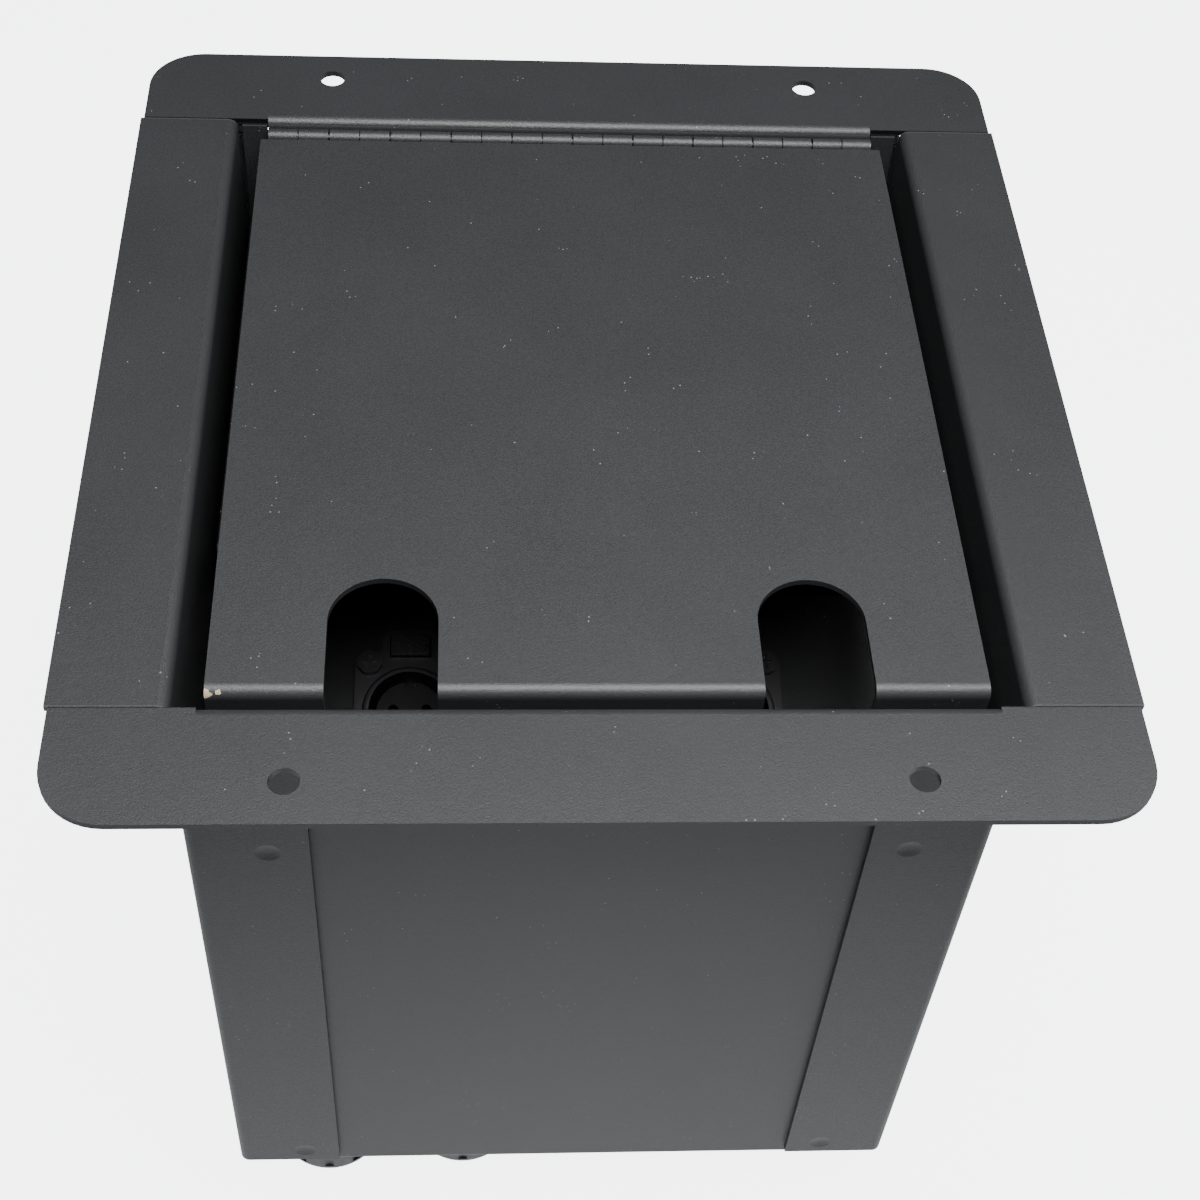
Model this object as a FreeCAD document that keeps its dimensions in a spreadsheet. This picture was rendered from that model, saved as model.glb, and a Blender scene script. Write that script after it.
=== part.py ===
"""Steel floor box with a hinged lid and three push-latch XLR receptacles.

Frame: X right, Y back, Z up, millimetres. Origin: centre of the four flange
screw holes, on the underside of the flange (the floor surface).
"""
import FreeCAD
import Part
import Sketcher
import os
import re

Vector = FreeCAD.Vector
os.makedirs("parts", exist_ok=True)
doc = FreeCAD.newDocument("FloorBox")
sheet = doc.addObject("Spreadsheet::Sheet", "Sizes")

SIZES = [
    # sheet steel
    ("sheet_t", 1.5, "steel sheet thickness"),
    ("bend_in", 1.0, "inside bend radius"),
    ("bend_out", 2.5, "outside bend radius"),
    ("relief", 2.5, "depth of the relief under a bend end"),
    ("ear_gap", 0.3, "gap over and beside the wall ears"),
    # channel: front wall, floor, back wall, front and back flange strips
    ("flange_y", 124.3, "flange half length"),
    ("strip_x", 111.4, "front and back strip half width"),
    ("corner_r", 14.0, "flange corner radius"),
    ("seam_y", 96.1, "inner edge of the strips beside the bends"),
    ("wall_y", 97.0, "outer face of front and back wall"),
    ("trough_x", 86.3, "half width of the channel walls and floor"),
    ("front_bend_x", 82.0, "half width of the front flange bend"),
    ("back_bend_x", 79.5, "half width of the back flange bend"),
    ("box_depth", 205.0, "underside of the floor below the flange"),
    ("hole_x", 63.5, "half of the 5 inch hole spacing"),
    ("hole_y", 114.3, "half of the 9 inch hole spacing"),
    ("hole_r", 3.2, "flange screw hole radius"),
    # side panels
    ("side_x", 88.9, "outer face of a side panel"),
    ("side_strip_x", 112.2, "outer edge of a side flange strip"),
    ("side_strip_y", 95.9, "half length of a side flange strip"),
    ("return_y", 98.5, "outer face of a corner return"),
    ("return_x", 61.8, "inner edge of a corner return"),
    ("return_top", 4.0, "top of the corner returns below the flange"),
    ("return_lift", 4.0, "bottom of the corner returns over the floor underside"),
    ("foot_w", 8.5, "width of the bottom flange over the wall"),
    ("foot_y", 94.0, "half length of the bottom flange"),
    ("weld_x", 71.0, "spot weld column"),
    ("weld_high", 48.0, "upper spot weld below the flange"),
    ("weld_lift", 9.5, "lower spot weld over the floor underside"),
    ("weld_r", 3.0, "spot weld mark radius"),
    ("weld_deep", 0.35, "spot weld mark depth"),
    # lid
    ("lid_x", 80.95, "half width of the lid"),
    ("lid_top", 0.9, "top face of the closed lid"),
    ("lid_back", 88.5, "back edge of the lid"),
    ("lip_y", 92.0, "outer face of the front lip"),
    ("lip_low", 11.1, "bottom edge of the front lip"),
    ("notch_x", 45.3, "centre of a cable notch"),
    ("notch_r", 11.6, "half width of a cable notch"),
    ("notch_y", 73.0, "centre of the round notch end"),
    ("move_gap", 0.3, "clearance beside moving pieces"),
    ("stop_x", 25.0, "half width of the lid stop"),
    ("stop_tab", 7.5, "front to back length of the lid stop tab"),
    ("stop_low", 30.0, "bottom of the lid stop"),
    # piano hinge
    ("axis_y", 92.4, "hinge axis"),
    ("axis_z", 1.05, "hinge axis below the floor surface"),
    ("knuckle_pitch", 7.9375, "one knuckle and its gap, 5/16 inch"),
    ("knuckle_count", 20, "knuckles of both leaves"),
    ("knuckle_gap", 0.4, "mean gap between two knuckles"),
    ("knuckle_shift", 0.1, "sideways play taken up by the lid leaf"),
    ("barrel_r", 1.9, "knuckle outer radius"),
    ("pin_r", 0.95, "hinge pin radius"),
    ("pin_fit", 0.05, "running fit of the lid knuckles on the pin"),
    ("leaf_t", 0.9, "hinge leaf thickness"),
    ("leaf_cut", 2.5, "leaf edge from the hinge axis"),
    ("leaf_drop", 22.0, "far edge of both leaves from the axis"),
    # connector panel
    ("panel_x", 86.2, "half width of the connector panel"),
    ("panel_y", 95.2, "front and back faces of the panel flanges"),
    ("tilt_angle", 14.5, "slope of the connector field"),
    ("bend_y", 25.6, "foot of the riser"),
    ("bend_z", 46.1, "foot of the riser below the flange"),
    ("shelf_z", 30.5, "rear shelf below the flange"),
    ("panel_drop", 14.5, "depth of the front and back panel flanges"),
    ("row_y", 56.2, "row of receptacles"),
    ("plate_screw_x", 80.0, "panel screws"),
    ("plate_screw_low", 30.0, "front panel screws from the row"),
    ("plate_screw_high", 18.0, "rear panel screws from the row"),
    ("ledge_in", 71.5, "inner edge of a bracket ledge"),
    ("wall_in", 87.4, "inner face of the side panels"),
    ("ledge_low", 36.0, "front end of a bracket from the row"),
    ("ledge_high", 24.0, "rear end of a bracket from the row"),
    ("ledge_leg", 20.0, "depth of a bracket below the panel"),
    # receptacles
    ("row_shift", 3.4, "row centre left of the middle"),
    ("row_pitch", 37.5, "receptacle spacing"),
    ("face_t", 2.0, "receptacle face thickness"),
    ("face_r", 3.5, "receptacle face corner, round the screw"),
    ("rim_r", 11.2, "rim radius"),
    ("rim_h", 1.2, "rim height over the face"),
    ("shell_r", 11.7, "barrel radius behind the panel"),
    ("shell_fit", 0.3, "barrel clearance in the panel"),
    ("shell_deep", 24.0, "barrel depth behind the panel"),
    ("socket_r", 9.6, "mouth radius for the plug shell"),
    ("socket_deep", 16.0, "mouth depth"),
    ("insert_r", 7.9, "contact insert radius"),
    ("insert_front", 0.8, "insert front over the panel"),
    ("insert_back", 27.0, "insert back behind the panel"),
    ("key_w", 2.4, "key groove width"),
    ("contact_r", 1.7, "contact sleeve radius"),
    ("contact_bore", 1.2, "contact bore radius"),
    ("contact_sunk", 3.0, "contact front behind the panel face"),
    ("contact_x", 3.9, "outer contacts from the centre"),
    ("contact_up", 1.0, "outer contacts above the centre"),
    ("contact_down", 4.0, "middle contact below the centre"),
    ("cup_r", 1.4, "solder cup radius"),
    ("cup_back", 32.0, "solder cup end behind the panel"),
    ("fix_x", 9.5, "face screws from the centre"),
    ("nut_gap", 0.5, "gap between a face nut and the barrel"),
    ("fix_r", 1.5, "face screw radius"),
    ("fix_fit", 0.1, "face screw hole clearance"),
    ("fix_head_r", 2.9, "face screw head radius"),
    ("fix_head_h", 1.7, "face screw head height"),
    ("fix_end", 5.5, "face screw end behind the panel face"),
    ("fix_nut_r", 3.1, "face nut corner radius"),
    ("fix_nut_h", 2.4, "face nut height"),
    ("cross_l", 1.7, "cross recess arm"),
    ("cross_w", 0.8, "cross recess width"),
    ("cross_deep", 1.0, "cross recess depth"),
    ("plate_r", 2.0, "panel screw radius"),
    ("plate_head_r", 3.6, "panel screw head radius"),
    ("plate_head_h", 2.2, "panel screw head height"),
    ("plate_nut_r", 4.0, "panel nut corner radius"),
    ("plate_nut_h", 3.2, "panel nut height"),
    # push tabs
    ("tab_x", 4.5, "push tab half width"),
    ("tab_low", 14.0, "push tab front edge from the centre"),
    ("tab_high", 18.8, "push tab back edge from the centre"),
    ("tab_up", 2.4, "push tab top over the face"),
    ("tab_back", 10.0, "push tab foot behind the panel face"),
    ("tongue_x", 6.6, "half width of the face tongue"),
    ("tongue_y", 20.8, "back end of the face tongue"),
    ("hook_x", 2.5, "latch hook half width"),
    ("hook_tip", 8.9, "latch hook tip from the centre"),
    ("hook_high", 6.0, "latch hook top behind the panel face"),
    ("hook_t", 2.0, "latch hook thickness"),
    ("tab_travel", 1.5, "push tab travel"),
    ("spring_t", 0.4, "latch spring strip"),
    ("spring_x", 2.0, "latch spring half width"),
    # cable glands
    ("gland_x", 47.0, "middle of the two glands, left"),
    ("gland_half", 19.05, "half of the gland spacing"),
    ("gland_y", 74.5, "left gland in front of the middle"),
    ("gland_skew", 1.6, "right gland behind the left one"),
    ("thread_r", 10.4, "gland thread radius"),
    ("thread_fit", 0.2, "gland hole clearance"),
    ("thread_top", 11.0, "gland thread end over the floor underside"),
    ("collar_wall", 5.2, "gland hexagon corners outside the thread"),
    ("collar_h", 6.0, "gland hexagon height"),
    ("spigot_r", 9.0, "gland spigot radius"),
    ("spigot_low", 16.0, "gland spigot end"),
    ("cable_r", 4.5, "gland cable way radius"),
    ("dome_low", 24.0, "dome nut end under the floor"),
    ("dome_bend", 5.0, "dome nut end rounding"),
    ("dome_wall", 3.0, "dome nut end thickness"),
    ("flute_r", 2.0, "grip flute radius of a dome nut"),
    ("flute_deep", 0.6, "grip flute depth"),
    ("flute_count", 12, "grip flutes"),
    ("locknut_wall", 3.2, "locknut corners outside the thread"),
    ("locknut_h", 4.0, "locknut height"),
]
for row, (word, number, note) in enumerate(SIZES, 1):
    sheet.set("A%d" % row, note)
    sheet.set("B%d" % row, str(number))
    sheet.setAlias("B%d" % row, word)
doc.recompute()

WORDS = re.compile(r"\b(" + "|".join(size[0] for size in SIZES) + r")\b")
PLANES = {"top": "XY_Plane", "front": "XZ_Plane", "side": "YZ_Plane"}
ORIGIN = (-1, 1)
nodes = []


def full(text):
    """Expression text with every size word pointing at the sheet."""
    return WORDS.sub(r"Sizes.\1", text)


def value(text):
    """Number an expression works out to."""
    return float(sheet.evalExpression(full(text)))


def node(thing, name):
    """Mark a finished sub-part for export."""
    thing.Label = name
    nodes.append((name, thing))
    return thing


# ---------------------------------------------------------------- sketches
def new_body(name):
    """Empty body of one sub-part."""
    return node(doc.addObject("PartDesign::Body", name), name)


def sketch(body, name, plane, lift="0"):
    """Sketch on an origin plane of its body, lifted along the plane normal."""
    face = [f for f in body.Origin.OriginFeatures if f.Role == PLANES[plane]][0]
    flat = body.newObject("Sketcher::SketchObject", name)
    flat.AttachmentSupport = [(face, "")]
    flat.MapMode = "FlatFace"
    flat.setExpression("AttachmentOffset.Base.z", full(lift))
    return flat


def tie(flat, kind, refs, text):
    """Constraint whose value follows an expression."""
    spot = flat.addConstraint(Sketcher.Constraint(kind, *refs, value(text)))
    flat.setExpression("Constraints[%d]" % spot, full(text))


def toward(start, end, reach):
    """Point at a distance from start on the way to end."""
    way = Vector(end).sub(start)
    way.normalize()
    return start.add(way.multiply(reach))


def outline(flat, corners):
    """Closed outline through (u, v) or (u, v, radius) corners."""
    first = flat.GeometryCount
    count = len(corners)
    points = [Vector(value(c[0]), value(c[1]), 0) for c in corners]
    radii = [value(c[2]) if len(c) > 2 else 0.0 for c in corners]
    for i in range(count):
        j = (i + 1) % count
        start = toward(points[i], points[j], radii[i])
        end = toward(points[j], points[i], radii[j])
        flat.addGeometry(Part.LineSegment(start, end), False)
    slanted = False
    for i in range(count):
        run = points[(i + 1) % count].sub(points[i])
        if abs(run.x) > 1e-6 and abs(run.y) > 1e-6:
            slanted = True
    for i in range(count):
        before = first + (i - 1) % count
        after = first + i
        if radii[i]:
            start = toward(points[i], points[i - 1], radii[i])
            end = toward(points[i], points[(i + 1) % count], radii[i])
            centre = start.add(end).sub(points[i])
            middle = toward(centre, points[i], radii[i])
            arc = flat.addGeometry(Part.Arc(start, middle, end), False)
            near, far = 1, 2
            if flat.getPoint(arc, 1).sub(start).Length > 1e-6:
                near, far = 2, 1
            flat.addConstraint(Sketcher.Constraint("Tangent", before, 2, arc, near))
            flat.addConstraint(Sketcher.Constraint("Tangent", arc, far, after, 1))
            tie(flat, "Radius", (arc,), corners[i][2])
        else:
            flat.addConstraint(Sketcher.Constraint("Coincident", before, 2, after, 1))
    for i in range(count):
        line = first + i
        run = points[(i + 1) % count].sub(points[i])
        if slanted:
            tie(flat, "DistanceX", (*ORIGIN, line, 1), corners[i][0])
            tie(flat, "DistanceY", (*ORIGIN, line, 1), corners[i][1])
        elif abs(run.x) < 1e-6:
            flat.addConstraint(Sketcher.Constraint("Vertical", line))
            tie(flat, "DistanceX", (*ORIGIN, line, 1), corners[i][0])
        else:
            flat.addConstraint(Sketcher.Constraint("Horizontal", line))
            tie(flat, "DistanceY", (*ORIGIN, line, 1), corners[i][1])


def block(flat, left, right, low, high):
    """Rectangle between four size expressions."""
    outline(flat, [(left, low), (right, low), (right, high), (left, high)])


def disc(flat, u, v, radius):
    """Circle at (u, v)."""
    centre = Vector(value(u), value(v), 0)
    ring = flat.addGeometry(Part.Circle(centre, Vector(0, 0, 1), value(radius)), False)
    tie(flat, "DistanceX", (*ORIGIN, ring, 3), u)
    tie(flat, "DistanceY", (*ORIGIN, ring, 3), v)
    tie(flat, "Radius", (ring,), radius)


def hexagon(flat, u, v, radius):
    """Hexagon with corners on a circle round (u, v)."""
    corners = []
    for k in range(6):
        across = "%s + (%s)*cos(%d)" % (u, radius, 60 * k)
        along = "%s + (%s)*sin(%d)" % (v, radius, 60 * k)
        corners.append((across, along))
    outline(flat, corners)


# ---------------------------------------------------------------- features
def pad(body, flat, length, way="up"):
    """Material from a sketch: up, down or both ways."""
    feature = body.newObject("PartDesign::Pad", flat.Name + "_pad")
    feature.Profile = flat
    feature.setExpression("Length", full(length))
    if way == "both":
        feature.SideType = "Symmetric"
    feature.Reversed = way == "down"
    return feature


def pocket(body, flat, length, way="down"):
    """Cut from a sketch: down, up or both ways."""
    feature = body.newObject("PartDesign::Pocket", flat.Name + "_cut")
    feature.Profile = flat
    feature.setExpression("Length", full(length))
    if way == "both":
        feature.SideType = "Symmetric"
    feature.Reversed = way == "up"
    return feature


def lathe(body, name, corners):
    """Turned piece about the body's own Z axis; corners are (radius, height)."""
    flat = sketch(body, name, "front")
    outline(flat, corners)
    feature = body.newObject("PartDesign::Revolution", name + "_turn")
    feature.Profile = flat
    feature.ReferenceAxis = (flat, ["V_Axis"])
    feature.Angle = 360.0
    return feature


def fillet(body, base, chosen, radius, name):
    """Rounds the edges whose two end points pass the test."""
    doc.recompute()
    names = []
    for number, edge in enumerate(base.Shape.Edges, 1):
        ends = [v.Point for v in edge.Vertexes]
        if len(ends) == 2 and chosen(*ends):
            names.append("Edge%d" % number)
    feature = body.newObject("PartDesign::Fillet", name)
    feature.Base = (base, names)
    feature.setExpression("Radius", full(radius))
    return feature


def along(spots):
    """Test for edges that run the panel's width through the given (Y, Z) spots."""
    def test(one, two):
        if abs(one.x - two.x) < value("panel_x"):
            return False
        return any(Vector(0, one.y - value(y), one.z - value(z)).Length < 0.02 for y, z in spots)
    return test


# ---------------------------------------------------------------- primitives
def place(thing, x, y, z):
    """Position bound to the sheet."""
    for axis, text in zip("xyz", (x, y, z)):
        thing.setExpression("Placement.Base." + axis, full(text))
    return thing


def rod(name, radius, height, x, y, z):
    """Upright cylinder."""
    thing = doc.addObject("Part::Cylinder", name)
    thing.setExpression("Radius", full(radius))
    thing.setExpression("Height", full(height))
    return place(thing, x, y, z)


def brick(name, length, width, height, x, y, z):
    """Box centred on (x, y), standing on z."""
    thing = doc.addObject("Part::Box", name)
    thing.setExpression("Length", full(length))
    thing.setExpression("Width", full(width))
    thing.setExpression("Height", full(height))
    return place(thing, "%s - (%s)/2" % (x, length), "%s - (%s)/2" % (y, width), z)


def hexbar(name, radius, height, x, y, z):
    """Upright hexagonal bar."""
    thing = doc.addObject("Part::Prism", name)
    thing.Polygon = 6
    thing.setExpression("Circumradius", full(radius))
    thing.setExpression("Height", full(height))
    return place(thing, x, y, z)


def join(name, things):
    """One solid from several."""
    thing = doc.addObject("Part::MultiFuse", name)
    thing.Shapes = things
    return thing


def cut(name, base, tool):
    """Base less tool."""
    thing = doc.addObject("Part::Cut", name)
    thing.Base = base
    thing.Tool = tool
    return thing


def group(name, things):
    """Separate solids that share one node."""
    thing = doc.addObject("Part::Compound", name)
    thing.Links = things
    return node(thing, name)


# face screws: as near the barrel as their nuts allow
FIX_Y = "sqrt((shell_r + fix_nut_r + nut_gap)^2 - fix_x^2)"
ROW_Z = "-bend_z - tan(tilt_angle)*(row_y - bend_y)"


def seat(thing, x="0"):
    """Put a piece on the sloping connector field, Z square to the field."""
    thing.Placement = FreeCAD.Placement(Vector(0, 0, 0), Vector(1, 0, 0), value("tilt_angle"))
    thing.setExpression("Placement.Rotation.Angle", full("tilt_angle * 1deg"))
    return place(thing, x, "-row_y", ROW_Z)


# ================================================================ channel
channel = new_body("channel")
flat = sketch(channel, "trough", "side")
outline(flat, [
    ("-wall_y", "-relief"),
    ("-wall_y", "-box_depth", "bend_out"),
    ("wall_y", "-box_depth", "bend_out"),
    ("wall_y", "-relief"),
    ("wall_y - sheet_t", "-relief"),
    ("wall_y - sheet_t", "sheet_t - box_depth", "bend_in"),
    ("sheet_t - wall_y", "sheet_t - box_depth", "bend_in"),
    ("sheet_t - wall_y", "-relief"),
])
pad(channel, flat, "2*trough_x", "both")
for name, way, half in (("front", "-", "front_bend_x"), ("back", "", "back_bend_x")):
    flat = sketch(channel, name + "_bend", "side")
    outline(flat, [
        (way + "(wall_y + 2)", "0"),
        (way + "wall_y", "0", "bend_in"),
        (way + "wall_y", "-relief"),
        (way + "(wall_y - sheet_t)", "-relief"),
        (way + "(wall_y - sheet_t)", "sheet_t", "bend_out"),
        (way + "(wall_y + 2)", "sheet_t"),
    ])
    pad(channel, flat, "2*" + half, "both")
    flat = sketch(channel, name + "_strip", "top")
    outline(flat, [
        ("-strip_x", way + "flange_y", "corner_r"),
        ("strip_x", way + "flange_y", "corner_r"),
        ("strip_x", way + "seam_y"),
        (half, way + "seam_y"),
        (half, way + "(wall_y + 2)"),
        ("-" + half, way + "(wall_y + 2)"),
        ("-" + half, way + "seam_y"),
        ("-strip_x", way + "seam_y"),
    ])
    pad(channel, flat, "sheet_t")
for name, way, half in (("front", "-", "front_bend_x"), ("back", "", "back_bend_x")):
    for side in ("-", ""):
        flat = sketch(channel, "%s_ear_%s" % (name, "left" if side else "right"), "top", "-relief")
        block(flat, side + "(%s + ear_gap)" % half, side + "trough_x",
              way + "(wall_y - sheet_t)", way + "wall_y")
        pad(channel, flat, "relief - ear_gap")
flat = sketch(channel, "flange_holes", "top")
for x in ("-hole_x", "hole_x"):
    for y in ("-hole_y", "hole_y"):
        disc(flat, x, y, "hole_r")
pocket(channel, flat, "4*sheet_t", "both")
flat = sketch(channel, "gland_holes", "top", "-box_depth")
for way, y in (("-", "-gland_y"), ("+", "gland_skew - gland_y")):
    disc(flat, "-gland_x %s gland_half" % way, y, "thread_r + thread_fit")
pocket(channel, flat, "4*sheet_t", "both")

# ================================================================ side panels
RETURN_LOW = "return_lift - box_depth"
# spot weld marks are shallow round dishes, cut by a ball of this radius
DISH = "(weld_r^2 + weld_deep^2)/(2*weld_deep)"
for name, way in (("left", "-"), ("right", "")):
    panel = new_body("side_panel_" + name)
    flat = sketch(panel, name + "_wall", "top", RETURN_LOW)
    outline(flat, [
        (way + "return_x", "-return_y"),
        (way + "side_x", "-return_y", "bend_out"),
        (way + "side_x", "return_y", "bend_out"),
        (way + "return_x", "return_y"),
        (way + "return_x", "return_y - sheet_t"),
        (way + "(side_x - sheet_t)", "return_y - sheet_t", "bend_in"),
        (way + "(side_x - sheet_t)", "sheet_t - return_y", "bend_in"),
        (way + "return_x", "sheet_t - return_y"),
    ])
    pad(panel, flat, "box_depth - return_lift - return_top")
    flat = sketch(panel, name + "_flange", "front")
    outline(flat, [
        (way + "side_strip_x", "sheet_t"),
        (way + "(side_x - sheet_t)", "sheet_t", "bend_out"),
        (way + "(side_x - sheet_t)", "-return_top"),
        (way + "side_x", "-return_top"),
        (way + "side_x", "0", "bend_in"),
        (way + "side_strip_x", "0"),
    ])
    pad(panel, flat, "2*side_strip_y", "both")
    flat = sketch(panel, name + "_foot", "front")
    outline(flat, [
        (way + "side_x", RETURN_LOW + " + 2"),
        (way + "side_x", "sheet_t - box_depth", "bend_out"),
        (way + "(side_x - foot_w)", "sheet_t - box_depth"),
        (way + "(side_x - foot_w)", "2*sheet_t - box_depth"),
        (way + "(side_x - sheet_t)", "2*sheet_t - box_depth", "bend_in"),
        (way + "(side_x - sheet_t)", RETURN_LOW + " + 2"),
    ])
    pad(panel, flat, "2*foot_y", "both")
    for end, way_y in (("front", "-"), ("back", "")):
        for level, height in (("high", "-weld_high"), ("low", "weld_lift - box_depth")):
            dish = panel.newObject("PartDesign::SubtractiveSphere", "weld_%s_%s_%s" % (name, end, level))
            dish.setExpression("Radius", full(DISH))
            face = [f for f in panel.Origin.OriginFeatures if f.Role == "XY_Plane"][0]
            dish.AttachmentSupport = [(face, "")]
            dish.MapMode = "FlatFace"
            dish.setExpression("AttachmentOffset.Base.x", full(way + "weld_x"))
            spot_y = "%s(return_y - weld_deep + %s)" % (way_y, DISH)
            dish.setExpression("AttachmentOffset.Base.y", full(spot_y))
            dish.setExpression("AttachmentOffset.Base.z", full(height))

# ================================================================ lid stop
stop = new_body("lid_stop")
flat = sketch(stop, "stop_section", "side")
STOP_TOP = "-lip_low - move_gap"
outline(flat, [
    ("sheet_t - wall_y", "-stop_low"),
    ("2*sheet_t - wall_y", "-stop_low"),
    ("2*sheet_t - wall_y", STOP_TOP + " - sheet_t", "bend_in"),
    ("stop_tab + sheet_t - wall_y", STOP_TOP + " - sheet_t"),
    ("stop_tab + sheet_t - wall_y", STOP_TOP),
    ("sheet_t - wall_y", STOP_TOP, "bend_out"),
])
pad(stop, flat, "2*stop_x", "both")

# ================================================================ piano hinge
KNUCKLE = "(knuckle_pitch - knuckle_gap)"


def leaf(name, start, bore, plate, tab):
    """Hinge leaf: a plate with every second knuckle of the barrel."""
    body = new_body(name)
    flat = sketch(body, name + "_plate", "side")
    block(flat, *plate)
    base = pad(body, flat, "knuckle_pitch*knuckle_count", "both")
    flat = sketch(body, name + "_ring", "side", start)
    disc(flat, "axis_y", "-axis_z", "barrel_r")
    ring = pad(body, flat, KNUCKLE)
    tip = sketch(body, name + "_neck", "side", start)
    block(tip, *tab)
    neck = pad(body, tip, KNUCKLE)
    row = body.newObject("PartDesign::LinearPattern", name + "_row")
    row.Originals = [ring, neck]
    row.Direction = (flat, ["N_Axis"])
    row.setExpression("Length", full("knuckle_pitch*(knuckle_count - 2)"))
    row.setExpression("Occurrences", full("knuckle_count/2"))
    body.Tip = row
    flat = sketch(body, name + "_bore", "side")
    disc(flat, "axis_y", "-axis_z", bore)
    pocket(body, flat, "knuckle_pitch*(knuckle_count + 2)", "both")
    return body


HALF_HINGE = "-knuckle_pitch*knuckle_count/2"
leaf("hinge_leaf_fixed", HALF_HINGE + " + knuckle_gap/2", "pin_r",
     ("wall_y - sheet_t - leaf_t", "wall_y - sheet_t", "-axis_z - leaf_drop", "-axis_z - leaf_cut"),
     ("axis_y + barrel_r - leaf_t", "wall_y - sheet_t", "-axis_z - leaf_cut - 1", "-axis_z - leaf_t/2"))
leaf("hinge_leaf_moving", HALF_HINGE + " + knuckle_pitch + knuckle_gap/2 - knuckle_shift",
     "pin_r + pin_fit",
     ("axis_y - leaf_drop", "axis_y - leaf_cut", "lid_top - sheet_t - leaf_t", "lid_top - sheet_t"),
     ("axis_y - leaf_cut - 1", "axis_y", "lid_top - sheet_t - leaf_t", "lid_top - sheet_t"))
pin = new_body("hinge_pin")
flat = sketch(pin, "pin_round", "side")
disc(flat, "axis_y", "-axis_z", "pin_r")
pad(pin, flat, "knuckle_pitch*knuckle_count - knuckle_gap", "both")

# ================================================================ lid
lid = new_body("lid_panel")
flat = sketch(lid, "lid_section", "side")
outline(flat, [
    ("lid_back", "lid_top"),
    ("-lip_y", "lid_top", "bend_out"),
    ("-lip_y", "-lip_low"),
    ("sheet_t - lip_y", "-lip_low"),
    ("sheet_t - lip_y", "lid_top - sheet_t", "bend_in"),
    ("lid_back", "lid_top - sheet_t"),
])
pad(lid, flat, "2*lid_x", "both")
for name, way in (("left", "-"), ("right", "")):
    flat = sketch(lid, "notch_%s_end" % name, "top")
    disc(flat, way + "notch_x", "-notch_y", "notch_r")
    pocket(lid, flat, "4*lip_low", "both")
    flat = sketch(lid, "notch_%s_way" % name, "top")
    block(flat, way + "notch_x - notch_r", way + "notch_x + notch_r", "-lip_y - 2", "-notch_y")
    pocket(lid, flat, "4*lip_low", "both")

# ================================================================ connector panel
plate = new_body("connector_panel")
FRONT_Z = "-bend_z - tan(tilt_angle)*(panel_y - bend_y)"
UNDER = "sheet_t/cos(tilt_angle)"
FRONT_UNDER = FRONT_Z + " + sheet_t*tan(tilt_angle) - " + UNDER
BACK_UNDER = "-bend_z + sheet_t*tan(tilt_angle) - " + UNDER
flat = sketch(plate, "panel_section", "side")
outline(flat, [
    ("-panel_y", FRONT_Z + " - panel_drop"),
    ("-panel_y", FRONT_Z),
    ("-bend_y", "-bend_z"),
    ("-bend_y", "-shelf_z"),
    ("panel_y", "-shelf_z"),
    ("panel_y", "-shelf_z - panel_drop"),
    ("panel_y - sheet_t", "-shelf_z - panel_drop"),
    ("panel_y - sheet_t", "-shelf_z - sheet_t"),
    ("sheet_t - bend_y", "-shelf_z - sheet_t"),
    ("sheet_t - bend_y", BACK_UNDER),
    ("sheet_t - panel_y", FRONT_UNDER),
    ("sheet_t - panel_y", FRONT_Z + " - panel_drop"),
])
base = pad(plate, flat, "2*panel_x", "both")
OUTER = [("-panel_y", FRONT_Z), ("-bend_y", "-shelf_z"), ("panel_y", "-shelf_z"),
         ("sheet_t - bend_y", BACK_UNDER)]
INNER = [("-bend_y", "-bend_z"), ("panel_y - sheet_t", "-shelf_z - sheet_t"),
         ("sheet_t - bend_y", "-shelf_z - sheet_t"), ("sheet_t - panel_y", FRONT_UNDER)]
base = fillet(plate, base, along(OUTER), "bend_out", "outer_bends")
base = fillet(plate, base, along(INNER), "bend_in", "inner_bends")


def field_sketch(body, name):
    """Sketch on the sloping connector field, centred on the receptacle row."""
    flat = sketch(body, name, "top", ROW_Z)
    turn = FreeCAD.Rotation(Vector(1, 0, 0), value("tilt_angle"))
    flat.AttachmentOffset = FreeCAD.Placement(Vector(0, 0, 0), turn)
    flat.setExpression("AttachmentOffset.Rotation.Angle", full("tilt_angle * 1deg"))
    flat.setExpression("AttachmentOffset.Base.y", full("-row_y"))
    return flat


PLACES = [("left", "-row_shift - row_pitch"), ("middle", "-row_shift"), ("right", "row_pitch - row_shift")]
flat = field_sketch(plate, "socket_holes")
for name, x in PLACES:
    disc(flat, x, "0", "shell_r + shell_fit")
pocket(plate, flat, "6*sheet_t", "both")
flat = field_sketch(plate, "tab_slots")
for name, x in PLACES:
    block(flat, x + " - tab_x - 2*move_gap", x + " + tab_x + 2*move_gap",
          "shell_r - 1", "tab_high + 2*move_gap")
pocket(plate, flat, "6*sheet_t", "both")
flat = field_sketch(plate, "screw_holes")
for name, x in PLACES:
    for across in ("-", "+"):
        for along in ("-", ""):
            disc(flat, "%s %s fix_x" % (x, across), along + FIX_Y, "fix_r + fix_fit")
for x in ("-plate_screw_x", "plate_screw_x"):
    for y in ("-plate_screw_low", "plate_screw_high"):
        disc(flat, x, y, "plate_r + fix_fit")
pocket(plate, flat, "4*sheet_t", "both")

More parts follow.
